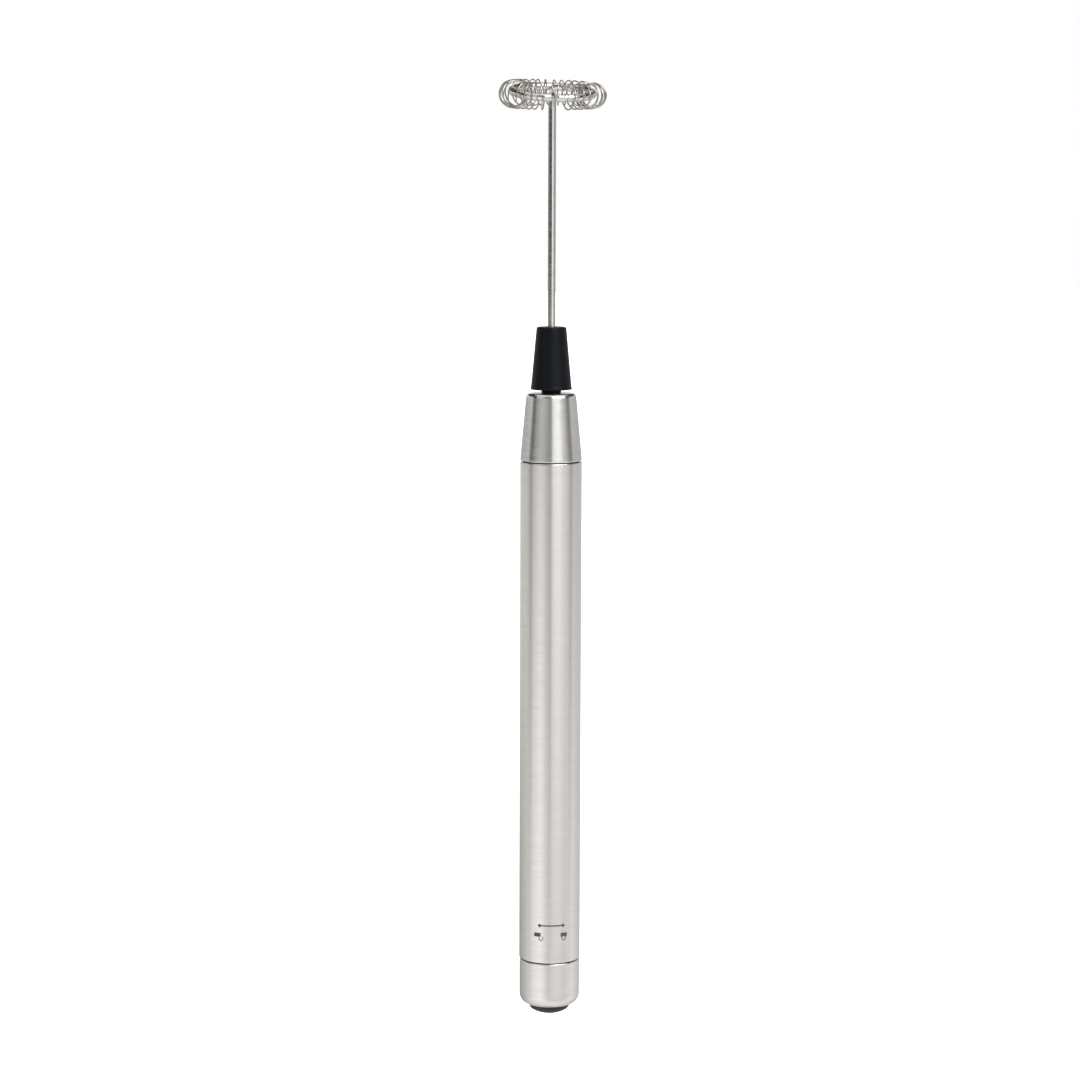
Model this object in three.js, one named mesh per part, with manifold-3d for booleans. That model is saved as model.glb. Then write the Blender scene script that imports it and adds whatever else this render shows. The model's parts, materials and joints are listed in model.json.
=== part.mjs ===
// Slim battery milk frother: a spring whisk on a bent wire, a tapered hub, and a turned steel handle
// that holds two AAA cells in line, a small brushed motor and a screw cap with a push switch.
//
// Millimetres, +Z along the handle's axis towards the whisk. Heights (every name that ends in Z) are
// measured from the lowest point of the power button. The finished group is lowered by GRIP_Z, which
// puts its origin on the axis at the middle of the grip.

import * as THREE from 'three';
import { mergeVertices } from 'three/addons/utils/BufferGeometryUtils.js';
import Module from 'manifold-3d';

const wasm = await Module();
wasm.setup();

// ---------------------------------------------------------------- driving dimensions

const OUTER_SIDES = 32; // facets round the outer covers
const INNER_SIDES = 20; // facets round the pieces inside
const FIT = 0.08; // play between pieces that are pressed or pushed together
const RUN = 0.05; // play round the turning shaft

const GRIP_Z = 71; // origin, at the middle of the grip

// Handle: tube, tapered nose and end cap, with a fine gap at each seam.
const TUBE_R = 7;
const WALL = 0.5; // sheet of the tube, nose and cap
const BORE_R = TUBE_R - WALL;
const SEAM_GAP = 0.24;
const CAP_SEAM_Z = 13.25;
const NOSE_SEAM_Z = 128.35;
const EDGE = 0.14; // chamfer on each seam edge
const CHAMFER = 0.3; // on the pieces inside

const NOSE = { topZ: 143.7, topR: 5.6, shoulderR: 0.9, plate: 0.6, holeR: 1.85 };
const NOSE_BUSH = { collarR: 2.2, collarZ: 144.25, stemR: 1.75, flangeR: 3.2, flangeZ: 141.8, tailZ: 138 };

// Whisk: hub, wire and coil.
const HUB = { lowZ: 144.5, highZ: 158.55, lowR: 4.55, highR: 3.38, lipR: 4.66, lipZ: 145.25, edgeR: 0.4 };
const SHAFT_R = 0.75; // motor shaft
const WIRE_R = 0.875; // whisk wire
const SHAFT_END_Z = 151.3; // the two shafts meet inside the hub
const WIRE_START_Z = 151.9;
const RING = { z: 210.7, r: 9.1, tilt: 9, roll: 2.3, armAt: 270, bend: 2.1, endAt: 352 };
const COIL = { z: 210.15, r: 9.12, shift: 0.18, tubeR: 2.81, swell: 0.05, wireR: 0.16, tilt: 4, roll: 1.2,
  turns: 31, openHalf: 13 };

// Motor.
const MOTOR = { r: 5.75, wall: 0.4, frontZ: 131.5, rimZ: 118.2, bellZ: 116.4, plugZ: 119.4 };
const SHAFT_START_Z = 117;
const FRONT_BEARING = { r: 1.6, lowZ: 130.2, highZ: 132.2 };
const REAR_BEARING = { r: 1.4, lowZ: 116.6, highZ: 118.8 };
const MAGNET = { outerR: 5.2, innerR: 4.4, span: 124, lowZ: 122, highZ: 130 };
const CORE = { r: 4.1, hubR: 1.7, neck: 1.5, shoe: 0.6, shoeSpan: 88, lowZ: 122.6, highZ: 129.6 };
const WINDING = { lowR: 1.95, highR: 2.8, thick: 0.6, play: 0.12 };
const COMMUTATOR = { r: 1.55, lowZ: 119.9, highZ: 121.9 };
const BRUSH = { nearX: 1.75, farX: 4.3, leaf: 0.3, width: 1.6, footZ: 119.5, tipZ: 121.7 };
const TERMINAL = { x: 3.7, thick: 0.4, width: 1.4, lowZ: 114.2, highZ: 119.45, slotPlay: 0.2 };
const SCREW = { at: 3.9, shankR: 0.65, headR: 1.2, head: 0.8, tipZ: 130.75 };
const CRADLE = { lowZ: 113, boreR: 5.83, wallZ: 131.7, highZ: 133, bossR: 2.2, holePlay: 0.15 };

// Cells and their contacts.
const CELL = { r: 5.25, length: 44.5, nubR: 1.9, nub: 0.8, lowZ: 21, gap: 0.05 };
const SLEEVE = { r: 6.4, boreR: 5.5, lowZ: 20.2, highZ: 110 };
const POSITIVE = { r: 3.4, lowZ: 110.15, highZ: 110.5, rivetR: 0.8, rivetZ: 112.8 };
const CARRIER = { r: 6.4, boreR: 0.95, lowZ: 110.6, highZ: 112 };
const TUBE_CONTACT = { r: 6.42, boreR: 5.1, lowZ: 112.1, highZ: 112.5 };
const LEAD_R = 0.4;

// End cap, switch and seal.
const CAP = { r: 6.92, rimZ: 2.55, rimR: 5.1, cornerZ: 4.95, holeR: 4.78 };
const BUTTON = { r: 4.68, faceR: 4.1, domeR: 8.2, flangeR: 5.3, flangeZ: 3.15, topZ: 4.6, seatR: 3.9,
  seatZ: 3.7 };
const BUTTON_TRAVEL = 1.6;
const PIN = { r: 1.2, collarR: 3.7, lowZ: 3.75, collarZ: 4.2, tipR: 0.5, endGap: 0.15 };
const WASHER = { boreR: 1.8, r: 6.3, lowZ: 8.2, highZ: 8.6 };
const CAP_CORE = { r: 6.3, neckR: 5.35, lowZ: 8.7, shoulderZ: 12.95, highZ: 19.9, webZ: 10, holeR: 1.4,
  wellR: 3.2, cupR: 4.6, grooveLowZ: 14.05, grooveHighZ: 14.95, grooveR: 4.9 };
const O_RING = { centreR: 5.32, r: 0.37 };
const PLATE = { r: 4.5, lowZ: 15.65, highZ: 16.05 };
const INSERT = { r: 6.42, boreR: 5.75, lowZ: 13.9, highZ: 20.1 };
const BATTERY_SPRING = { lowR: 4.05, highR: 2.4, wireR: 0.25, turns: 4.5 };
const BUTTON_SPRING = { r: 2.9, wireR: 0.2, turns: 4 };

// ---------------------------------------------------------------- finishes

const finish = (color, roughness, metalness) =>
  new THREE.MeshStandardMaterial({ color, roughness, metalness });

const satinSteel = () => finish(0xc9c6c0, 0.35, 1);
const brightSteel = () => finish(0xd4d4d2, 0.18, 1);
const brass = () => finish(0xc8a55a, 0.3, 1);
const copper = () => finish(0xb56a3a, 0.35, 1);
const blackPlastic = () => finish(0x14161a, 0.6, 0);
const whitePlastic = () => finish(0xe8e6df, 0.5, 0);

// ---------------------------------------------------------------- shape helpers

const rad = THREE.MathUtils.degToRad;

/** A solid of revolution about Z; the [radius, height] profile runs anticlockwise. */
function turned(profile, sides = INNER_SIDES) {
  const points = profile.map(([r, z]) => new THREE.Vector2(r, z));
  const onAxis = profile[0][0] === 0 && profile.at(-1)[0] === 0;
  if (!onAxis) points.push(points[0].clone());
  return new THREE.LatheGeometry(points, sides).rotateX(Math.PI / 2);
}

/** A plain ring, or a disc when innerR is 0. */
function ring(innerR, outerR, lowZ, highZ, sides = INNER_SIDES) {
  return turned([[innerR, lowZ], [outerR, lowZ], [outerR, highZ], [innerR, highZ]], sides);
}

/** Profile points on an arc, angles in degrees from the +radius direction; an ellipse if tall is given. */
function arc(centreR, centreZ, radius, from, to, steps, tall = radius) {
  return Array.from({ length: steps + 1 }, (_, i) => {
    const angle = rad(from + ((to - from) * i) / steps);
    return [centreR + radius * Math.cos(angle), centreZ + tall * Math.sin(angle)];
  });
}

/** A curve that passes through the given stations, one extrusion step between each two. */
class StationCurve extends THREE.Curve {
  constructor(stations) {
    super();
    this.stations = stations;
  }

  getPoint(t, target = new THREE.Vector3()) {
    const last = this.stations.length - 1;
    const index = THREE.MathUtils.clamp(Math.floor(t * last), 0, last - 1);
    return target.lerpVectors(this.stations[index], this.stations[index + 1], t * last - index);
  }

  getUtoTmapping(u) {
    return u;
  }
}

/** A round wire along the stations, closed at both ends. */
function wire(stations, radius, sides) {
  const section = new THREE.Shape();
  for (let i = 0; i < sides; i += 1) {
    const angle = (2 * Math.PI * i) / sides;
    const place = i === 0 ? 'moveTo' : 'lineTo';
    section[place](radius * Math.cos(angle), radius * Math.sin(angle));
  }
  section.closePath();
  const extrudePath = new StationCurve(stations);
  return new THREE.ExtrudeGeometry(section, { extrudePath, steps: stations.length - 1 });
}

/** Stations of a coil spring about Z, cylindrical or conical, with both ends a wire's radius in. */
function springStations({ lowR, highR, wireR, turns }, lowZ, highZ, stepsPerTurn = 10) {
  const steps = Math.round(turns * stepsPerTurn);
  return Array.from({ length: steps + 1 }, (_, i) => {
    const along = i / steps;
    const angle = 2 * Math.PI * turns * along;
    const r = THREE.MathUtils.lerp(lowR, highR, along);
    const z = THREE.MathUtils.lerp(lowZ + wireR, highZ - wireR, along);
    return new THREE.Vector3(r * Math.cos(angle), r * Math.sin(angle), z);
  });
}

/** An outline in the XY plane, extruded from lowZ to highZ. */
function plate(shape, lowZ, highZ) {
  const depth = highZ - lowZ;
  return new THREE.ExtrudeGeometry(shape, { depth, bevelEnabled: false }).translate(0, 0, lowZ);
}

function box(x, y, z, centre) {
  return new THREE.BoxGeometry(x, y, z).translate(...centre);
}

function toManifold(geometry) {
  const bare = geometry.clone();
  bare.deleteAttribute('normal');
  bare.deleteAttribute('uv');
  const merged = mergeVertices(bare, 1e-4);
  const index = merged.index.array;
  const triVerts = [];
  for (let i = 0; i < index.length; i += 3) {
    const [a, b, c] = [index[i], index[i + 1], index[i + 2]];
    if (a !== b && b !== c && c !== a) triVerts.push(a, b, c);
  }
  const vertProperties = new Float32Array(merged.attributes.position.array);
  return new wasm.Manifold(new wasm.Mesh({
    numProp: 3, vertProperties, triVerts: new Uint32Array(triVerts) }));
}

/** The geometry less every tool. */
function cut(geometry, tools) {
  const solid = tools.reduce((rest, tool) => rest.subtract(toManifold(tool)), toManifold(geometry));
  const { vertProperties, triVerts } = solid.getMesh();
  const result = new THREE.BufferGeometry();
  result.setAttribute('position', new THREE.BufferAttribute(vertProperties, 3));
  result.setIndex(new THREE.BufferAttribute(triVerts, 1));
  result.computeVertexNormals();
  return result;
}

function add(group, name, geometry, material) {
  const mesh = new THREE.Mesh(geometry, material);
  mesh.name = name;
  group.add(mesh);
}

// ---------------------------------------------------------------- whisk

/** Carries a point of a level ring at the origin to a ring at height z, tilted and rolled. */
function ringPlacer({ z, tilt, roll }) {
  const turn = new THREE.Quaternion().setFromEuler(new THREE.Euler(rad(tilt), rad(roll), 0));
  return (x, y, up) => new THREE.Vector3(x, y, up).applyQuaternion(turn).add(new THREE.Vector3(0, 0, z));
}

const onCircle = (place, r, degrees, up = 0) =>
  place(r * Math.cos(rad(degrees)), r * Math.sin(rad(degrees)), up);

/** One wire: straight up from the hub, bent out into an arm, then bent round, clockwise from above. */
function whiskWire() {
  const place = ringPlacer(RING);
  const { r, bend, armAt, endAt } = RING;
  const centre = place(0, 0, 0);
  const corner = onCircle(place, r, armAt);
  const bendAngle = THREE.MathUtils.radToDeg(bend / r);
  const armStart = onCircle(place, bend, armAt);
  const armEnd = onCircle(place, r - bend, armAt);
  const ringStart = onCircle(place, r, armAt - bendAngle);
  const below = centre.clone().setZ(centre.z - bend);
  const bends = [
    new THREE.QuadraticBezierCurve3(below, centre, armStart),
    new THREE.QuadraticBezierCurve3(armEnd, corner, ringStart),
  ];
  const stations = [new THREE.Vector3(0, 0, WIRE_START_Z)];
  for (const curve of bends) stations.push(...curve.getPoints(6));
  const ringSteps = 40;
  for (let i = 1; i <= ringSteps; i += 1) {
    const angle = THREE.MathUtils.lerp(bendAngle, endAt, i / ringSteps);
    stations.push(onCircle(place, r, armAt - angle));
  }
  return wire(stations, WIRE_R, 10);
}

/** The fine coil, wound loosely round the ring, open at the arm and a little fuller on the -X side. */
function whiskCoil() {
  const place = ringPlacer(COIL);
  const { r, shift, tubeR, swell, turns, openHalf, wireR } = COIL;
  const stepsPerTurn = 8;
  const steps = turns * stepsPerTurn;
  const from = RING.armAt + openHalf;
  const span = 360 - 2 * openHalf;
  const stations = Array.from({ length: steps + 1 }, (_, i) => {
    const winding = (2 * Math.PI * i) / stepsPerTurn;
    const at = from + (span * i) / steps;
    const side = Math.cos(rad(at));
    const turnR = tubeR * (1 - swell * side);
    return onCircle(place, r + shift * side + turnR * Math.cos(winding), at, turnR * Math.sin(winding));
  });
  return wire(stations, wireR, 5);
}

/** Tapered grip hub, bored for the motor shaft from below and the whisk wire from above. */
function whiskHub() {
  const { lowZ, highZ, lowR, highR, lipR, lipZ, edgeR } = HUB;
  const stepZ = (SHAFT_END_Z + WIRE_START_Z) / 2;
  return turned([
    [SHAFT_R + RUN, lowZ],
    [lipR, lowZ],
    [lowR, lipZ],
    ...arc(highR - edgeR, highZ - edgeR, edgeR, 5, 90, 4),
    [WIRE_R + RUN, highZ],
    [WIRE_R + RUN, stepZ],
    [SHAFT_R + RUN, stepZ],
  ], OUTER_SIDES);
}

// ---------------------------------------------------------------- handle covers

const noseLowZ = NOSE_SEAM_Z + SEAM_GAP / 2;
const noseTaper = (TUBE_R - NOSE.topR) / (NOSE.topZ - noseLowZ);

/** Outside radius of the nose at a height. */
const noseRadius = (z) => TUBE_R - noseTaper * (z - noseLowZ);

/** Turned tapered nose with a rounded shoulder and a hole for the bush. */
function noseCone() {
  const { topZ, shoulderR, plate: thick, holeR } = NOSE;
  const plateZ = topZ - thick;
  const cornerZ = plateZ - 2 * CHAMFER;
  const shoulderZ = topZ - shoulderR;
  return turned([
    [noseRadius(noseLowZ) - WALL, noseLowZ],
    [TUBE_R - EDGE, noseLowZ],
    [noseRadius(noseLowZ + EDGE), noseLowZ + EDGE],
    ...arc(noseRadius(shoulderZ) - shoulderR, shoulderZ, shoulderR, 0, 90, 5),
    [holeR, topZ],
    [holeR, plateZ],
    [noseRadius(plateZ) - WALL - CHAMFER, plateZ],
    [noseRadius(cornerZ) - WALL, cornerZ],
  ], OUTER_SIDES);
}

/** Plain bearing in the nose: flange inside, stem through the hole, collar outside. */
function noseBush() {
  const { collarR, collarZ, stemR, flangeR, flangeZ, tailZ } = NOSE_BUSH;
  const flangeTopZ = NOSE.topZ - NOSE.plate - RUN;
  const collarLowZ = NOSE.topZ + RUN;
  return turned([
    [SHAFT_R + RUN, tailZ],
    [stemR, tailZ],
    [stemR, flangeZ],
    [flangeR, flangeZ],
    [flangeR, flangeTopZ],
    [stemR, flangeTopZ],
    [stemR, collarLowZ],
    [collarR, collarLowZ],
    [collarR, collarZ],
    [SHAFT_R + RUN, collarZ],
  ]);
}

function bodyTube() {
  const lowZ = CAP_SEAM_Z + SEAM_GAP / 2;
  const highZ = NOSE_SEAM_Z - SEAM_GAP / 2;
  return turned([
    [BORE_R, lowZ],
    [TUBE_R - EDGE, lowZ],
    [TUBE_R, lowZ + EDGE],
    [TUBE_R, highZ - EDGE],
    [TUBE_R - EDGE, highZ],
    [BORE_R, highZ],
  ], OUTER_SIDES);
}

/** Spun cup with a tall round lower corner, a narrow flat rim and a hole for the button. */
function endCap() {
  const { r, rimZ, rimR, cornerZ, holeR } = CAP;
  const topZ = CAP_SEAM_Z - SEAM_GAP / 2;
  const [wide, tall] = [r - rimR, cornerZ - rimZ];
  return turned([
    [holeR, rimZ],
    ...arc(rimR, cornerZ, wide, -90, 0, 6, tall),
    [r, topZ - EDGE],
    [r - EDGE, topZ],
    [r - WALL, topZ],
    ...arc(rimR, cornerZ, wide - WALL, 0, -90, 4, tall - WALL),
    [holeR, rimZ + WALL],
  ], OUTER_SIDES);
}

// ---------------------------------------------------------------- switch in the cap

/** Domed push button with a rounded edge, a retaining flange and a seat for the contact pin. */
function powerButton() {
  const { r, faceR, domeR, flangeR, flangeZ, topZ, seatR, seatZ } = BUTTON;
  const lean = Math.asin(faceR / domeR);
  const leanDegrees = THREE.MathUtils.radToDeg(lean);
  const edgeR = (r - faceR) / (1 - Math.sin(lean));
  const edgeZ = domeR - (domeR - edgeR) * Math.cos(lean);
  const face = arc(0, domeR, domeR, -90, -90 + leanDegrees, 4);
  face[0][0] = 0;
  return turned([
    ...face,
    ...arc(r - edgeR, edgeZ, edgeR, -90 + leanDegrees, 0, 3).slice(1),
    [r, flangeZ],
    [flangeR, flangeZ],
    [flangeR, topZ],
    [seatR, topZ],
    [seatR, seatZ],
    [0, seatZ],
  ], OUTER_SIDES);
}

/** Brass pin that the button pushes against the contact plate. */
function contactPin() {
  const { r, collarR, lowZ, collarZ, tipR, endGap } = PIN;
  const tipZ = PLATE.lowZ - BUTTON_TRAVEL - endGap;
  return turned([
    [0, lowZ],
    [collarR, lowZ],
    [collarR, collarZ],
    [r, collarZ],
    ...arc(r - tipR, tipZ - tipR, tipR, 0, 90, 3),
    [0, tipZ],
  ]);
}

/** Moulded core: shoulder in the cap, neck for the thread, a web for the pin, a cup for the spring. */
function capCore() {
  const { r, neckR, lowZ, shoulderZ, highZ, webZ, holeR, wellR, cupR } = CAP_CORE;
  const { grooveLowZ, grooveHighZ, grooveR } = CAP_CORE;
  const stepZ = PLATE.lowZ - RUN;
  return turned([
    [holeR, lowZ],
    [r, lowZ],
    [r, shoulderZ],
    [neckR, shoulderZ],
    [neckR, grooveLowZ],
    [grooveR, grooveLowZ],
    [grooveR, grooveHighZ],
    [neckR, grooveHighZ],
    [neckR, highZ - CHAMFER],
    [neckR - CHAMFER, highZ],
    [cupR, highZ],
    [cupR, stepZ],
    [wellR, stepZ],
    [wellR, webZ],
    [holeR, webZ],
  ], OUTER_SIDES);
}

function capORing() {
  const centreZ = (CAP_CORE.grooveLowZ + CAP_CORE.grooveHighZ) / 2;
  return turned(arc(O_RING.centreR, centreZ, O_RING.r, 0, 315, 7));
}

function buttonSpring() {
  const { r, wireR, turns } = BUTTON_SPRING;
  const shape = { lowR: r, highR: r, wireR, turns };
  return wire(springStations(shape, PIN.collarZ + RUN, WASHER.lowZ - RUN), wireR, 5);
}

function batterySpring() {
  const lowZ = PLATE.highZ + RUN;
  const highZ = CELL.lowZ - RUN;
  return wire(springStations(BATTERY_SPRING, lowZ, highZ), BATTERY_SPRING.wireR, 5);
}

// ---------------------------------------------------------------- cells and contacts

/** AAA cell, positive end up. */
function cell(index) {
  const lowZ = CELL.lowZ + index * (CELL.length + CELL.gap);
  const highZ = lowZ + CELL.length;
  const shoulderZ = highZ - CELL.nub;
  return turned([
    [0, lowZ],
    [CELL.r - CHAMFER, lowZ],
    [CELL.r, lowZ + CHAMFER],
    [CELL.r, shoulderZ - CHAMFER],
    [CELL.r - CHAMFER, shoulderZ],
    [CELL.nubR, shoulderZ],
    [CELL.nubR, highZ],
    [0, highZ],
  ]);
}

function positiveContact() {
  const { r, lowZ, highZ, rivetR, rivetZ } = POSITIVE;
  return turned([[0, lowZ], [r, lowZ], [r, highZ], [rivetR, highZ], [rivetR, rivetZ], [0, rivetZ]]);
}

/** An insulated lead through three points, with its ends left square. */
function lead(...points) {
  const curve = new THREE.CatmullRomCurve3(points.map((point) => new THREE.Vector3(...point)));
  return wire(curve.getPoints(12), LEAD_R, 8);
}

// ---------------------------------------------------------------- motor

/** Sleeve round the motor and spigot in the nose, which joins the tube to the nose. */
function motorCradle() {
  const { lowZ, boreR, wallZ, highZ, bossR } = CRADLE;
  const seatR = (z) => noseRadius(z) - WALL - FIT;
  const blank = turned([
    [boreR, lowZ],
    [BORE_R - FIT, lowZ],
    [BORE_R - FIT, noseLowZ],
    [seatR(highZ), highZ],
    [bossR, highZ],
    [bossR, wallZ],
    [boreR, wallZ],
  ]);
  return cut(blank, screwHoles(wallZ - 1, highZ + 1));
}

function screwHoles(lowZ, highZ) {
  const holeR = SCREW.shankR + CRADLE.holePlay;
  return [1, -1].map((side) => ring(0, holeR, lowZ, highZ, 16).translate(side * SCREW.at, 0, 0));
}

/** Drawn can with a front wall that carries the front bearing and the two tapped holes. */
function motorCan() {
  const { r, wall, frontZ, rimZ } = MOTOR;
  const holeR = FRONT_BEARING.r + RUN;
  const blank = turned([
    [r - wall, rimZ],
    [r, rimZ],
    [r, frontZ - CHAMFER],
    [r - CHAMFER, frontZ],
    [holeR, frontZ],
    [holeR, frontZ - wall],
    [r - wall, frontZ - wall],
  ]);
  return cut(blank, screwHoles(frontZ - 1, frontZ + 1));
}

/** Moulded end bell with a rim, a plug in the can and slots for the two terminals. */
function motorEndBell() {
  const { r, wall, rimZ, bellZ, plugZ } = MOTOR;
  const holeR = REAR_BEARING.r + RUN;
  const plugR = r - wall - FIT;
  const blank = turned([
    [holeR, bellZ],
    [r, bellZ],
    [r, rimZ - RUN],
    [plugR, rimZ - RUN],
    [plugR, plugZ],
    [holeR, plugZ],
  ]);
  const { x, thick, width, slotPlay } = TERMINAL;
  const slots = [1, -1].map((side) => box(thick + slotPlay, width + slotPlay, 2 * (plugZ - bellZ),
    [side * x, 0, (bellZ + plugZ) / 2]));
  return cut(blank, slots);
}

function magnet(side) {
  const { outerR, innerR, span, lowZ, highZ } = MAGNET;
  const middle = side * 90;
  const from = rad(middle - span / 2);
  const to = rad(middle + span / 2);
  const shape = new THREE.Shape();
  shape.absarc(0, 0, outerR, from, to, false);
  shape.absarc(0, 0, innerR, to, from, true);
  shape.closePath();
  return plate(shape, lowZ, highZ);
}

/** Three-pole lamination stack, bored for the shaft. */
function armatureCore() {
  const { r, hubR, neck, shoe, shoeSpan, lowZ, highZ } = CORE;
  const shoeR = r - shoe;
  const halfShoe = rad(shoeSpan / 2);
  const halfNeck = (radius) => Math.asin(neck / 2 / radius);
  const outline = [];
  const point = (radius, angle) =>
    outline.push(new THREE.Vector2(radius * Math.cos(angle), radius * Math.sin(angle)));
  const arcSteps = 8;
  for (let pole = 0; pole < 3; pole += 1) {
    const middle = rad(90 + 120 * pole);
    point(hubR, middle - halfNeck(hubR));
    point(shoeR, middle - halfNeck(shoeR));
    point(shoeR, middle - halfShoe);
    for (let i = 0; i <= arcSteps; i += 1) point(r, middle + halfShoe * ((2 * i) / arcSteps - 1));
    point(shoeR, middle + halfShoe);
    point(shoeR, middle + halfNeck(shoeR));
    point(hubR, middle + halfNeck(hubR));
  }
  const shape = new THREE.Shape(outline);
  shape.holes.push(new THREE.Path().absarc(0, 0, SHAFT_R + FIT, 0, 2 * Math.PI, true));
  return plate(shape, lowZ, highZ);
}

/** One copper winding: a frame round a pole's neck. */
function winding(pole) {
  const { lowR, highR, thick, play } = WINDING;
  const halfWidth = CORE.neck / 2 + play;
  const halfHeight = (CORE.highZ - CORE.lowZ) / 2 + play;
  const frame = (grow) => {
    const [w, h] = [halfWidth + grow, halfHeight + grow];
    return [[-w, -h], [w, -h], [w, h], [-w, h]].map(([x, y]) => new THREE.Vector2(x, y));
  };
  const shape = new THREE.Shape(frame(thick));
  shape.holes.push(new THREE.Path(frame(0)));
  const geometry = new THREE.ExtrudeGeometry(shape, { depth: highR - lowR, bevelEnabled: false });
  return geometry
    .translate(0, 0, lowR)
    .rotateX(Math.PI / 2)
    .rotateZ(Math.PI + rad(120 * pole))
    .translate(0, 0, (CORE.lowZ + CORE.highZ) / 2);
}

/** L-shaped leaf that presses on the commutator, with its foot on the end bell. */
function brush(side) {
  const { nearX, farX, leaf, width, footZ, tipZ } = BRUSH;
  const outline = [[nearX, footZ], [farX, footZ], [farX, footZ + leaf], [nearX + leaf, footZ + leaf],
    [nearX + leaf, tipZ], [nearX, tipZ]].map(([x, z]) => new THREE.Vector2(x, z));
  const shape = new THREE.Shape(outline);
  return new THREE.ExtrudeGeometry(shape, { depth: width, bevelEnabled: false })
    .translate(0, 0, -width / 2)
    .rotateX(Math.PI / 2)
    .rotateZ(side > 0 ? 0 : Math.PI);
}

function terminal(side) {
  const { x, thick, width, lowZ, highZ } = TERMINAL;
  return box(thick, width, highZ - lowZ, [side * x, 0, (lowZ + highZ) / 2]);
}

/** Pan-head screw through the cradle's front wall into the can. */
function motorScrew(side) {
  const { at, shankR, headR, head, tipZ } = SCREW;
  const seatZ = CRADLE.highZ + RUN;
  return turned([
    [0, tipZ],
    [shankR, tipZ],
    [shankR, seatZ],
    [headR, seatZ],
    [headR, seatZ + head / 2],
    [headR - CHAMFER, seatZ + head],
    [0, seatZ + head],
  ], 16).translate(side * at, 0, 0);
}

// ---------------------------------------------------------------- assembly

/** Everything that turns with the motor. */
function whiskGroup() {
  const group = new THREE.Group();
  add(group, 'whisk_wire', whiskWire(), brightSteel());
  add(group, 'whisk_coil', whiskCoil(), brightSteel());
  add(group, 'whisk_hub', whiskHub(), blackPlastic());
  add(group, 'motor_shaft', ring(0, SHAFT_R, SHAFT_START_Z, SHAFT_END_Z), brightSteel());
  add(group, 'armature_core', armatureCore(), satinSteel());
  for (let pole = 0; pole < 3; pole += 1) {
    add(group, `armature_winding_${pole + 1}`, winding(pole), copper());
  }
  const { r, lowZ, highZ } = COMMUTATOR;
  add(group, 'commutator', ring(SHAFT_R + RUN, r, lowZ, highZ), copper());
  return group;
}

function motorGroup() {
  const group = new THREE.Group();
  const bore = SHAFT_R + RUN;
  add(group, 'motor_cradle', motorCradle(), blackPlastic());
  add(group, 'motor_can', motorCan(), satinSteel());
  add(group, 'motor_end_bell', motorEndBell(), whitePlastic());
  add(group, 'front_bearing', ring(bore, FRONT_BEARING.r, FRONT_BEARING.lowZ, FRONT_BEARING.highZ), brass());
  add(group, 'rear_bearing', ring(bore, REAR_BEARING.r, REAR_BEARING.lowZ, REAR_BEARING.highZ), brass());
  [1, -1].forEach((side, i) => {
    add(group, `motor_magnet_${i + 1}`, magnet(side), finish(0x3a3a3c, 0.7, 0.2));
    add(group, `motor_brush_${i + 1}`, brush(side), copper());
    add(group, `motor_terminal_${i + 1}`, terminal(side), brass());
    add(group, `motor_screw_${i + 1}`, motorScrew(side), brightSteel());
  });
  return group;
}

function powerGroup() {
  const group = new THREE.Group();
  const { r, boreR, lowZ, highZ } = TUBE_CONTACT;
  const leadZ = TERMINAL.lowZ - LEAD_R - RUN;
  const rivetZ = POSITIVE.rivetZ + LEAD_R + RUN;
  const ringZ = highZ + LEAD_R + RUN;
  add(group, 'battery_sleeve', ring(SLEEVE.boreR, SLEEVE.r, SLEEVE.lowZ, SLEEVE.highZ), whitePlastic());
  add(group, 'battery_1', cell(0), finish(0x2f5d50, 0.4, 0.4));
  add(group, 'battery_2', cell(1), finish(0x2f5d50, 0.4, 0.4));
  add(group, 'positive_contact', positiveContact(), brass());
  add(group, 'contact_carrier', ring(CARRIER.boreR, CARRIER.r, CARRIER.lowZ, CARRIER.highZ), whitePlastic());
  add(group, 'tube_contact', ring(boreR, r, lowZ, highZ), brass());
  add(group, 'positive_lead', lead([TERMINAL.x, 0, leadZ], [2, 1.1, leadZ], [-0.3, 0, rivetZ]),
    finish(0xa02020, 0.5, 0));
  add(group, 'negative_lead', lead([-TERMINAL.x, 0, leadZ], [-4.3, -2, leadZ], [-3.6, -4.2, ringZ]),
    finish(0x202020, 0.5, 0));
  return group;
}

function coverGroup() {
  const group = new THREE.Group();
  add(group, 'nose_cone', noseCone(), satinSteel());
  add(group, 'nose_bush', noseBush(), blackPlastic());
  add(group, 'body_tube', bodyTube(), satinSteel());
  add(group, 'tube_insert', ring(INSERT.boreR, INSERT.r, INSERT.lowZ, INSERT.highZ, OUTER_SIDES), brass());
  return group;
}

function capGroup() {
  const group = new THREE.Group();
  add(group, 'end_cap', endCap(), satinSteel());
  add(group, 'cap_core', capCore(), blackPlastic());
  add(group, 'cap_o_ring', capORing(), finish(0x101010, 0.8, 0));
  add(group, 'ground_washer', ring(WASHER.boreR, WASHER.r, WASHER.lowZ, WASHER.highZ), brightSteel());
  add(group, 'contact_plate', ring(0, PLATE.r, PLATE.lowZ, PLATE.highZ), brightSteel());
  add(group, 'battery_spring', batterySpring(), brightSteel());
  add(group, 'button_spring', buttonSpring(), brightSteel());
  add(group, 'contact_pin', contactPin(), brass());
  add(group, 'power_button', powerButton(), finish(0x1b1c20, 0.35, 0));
  return group;
}

const frother = new THREE.Group();
frother.add(whiskGroup(), coverGroup(), motorGroup(), powerGroup(), capGroup());
frother.position.z = -GRIP_Z;

export default frother;
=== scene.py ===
"""Looks of the slim milk frother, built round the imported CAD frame. Metres, +Z towards the whisk."""

import json
import math

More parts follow.
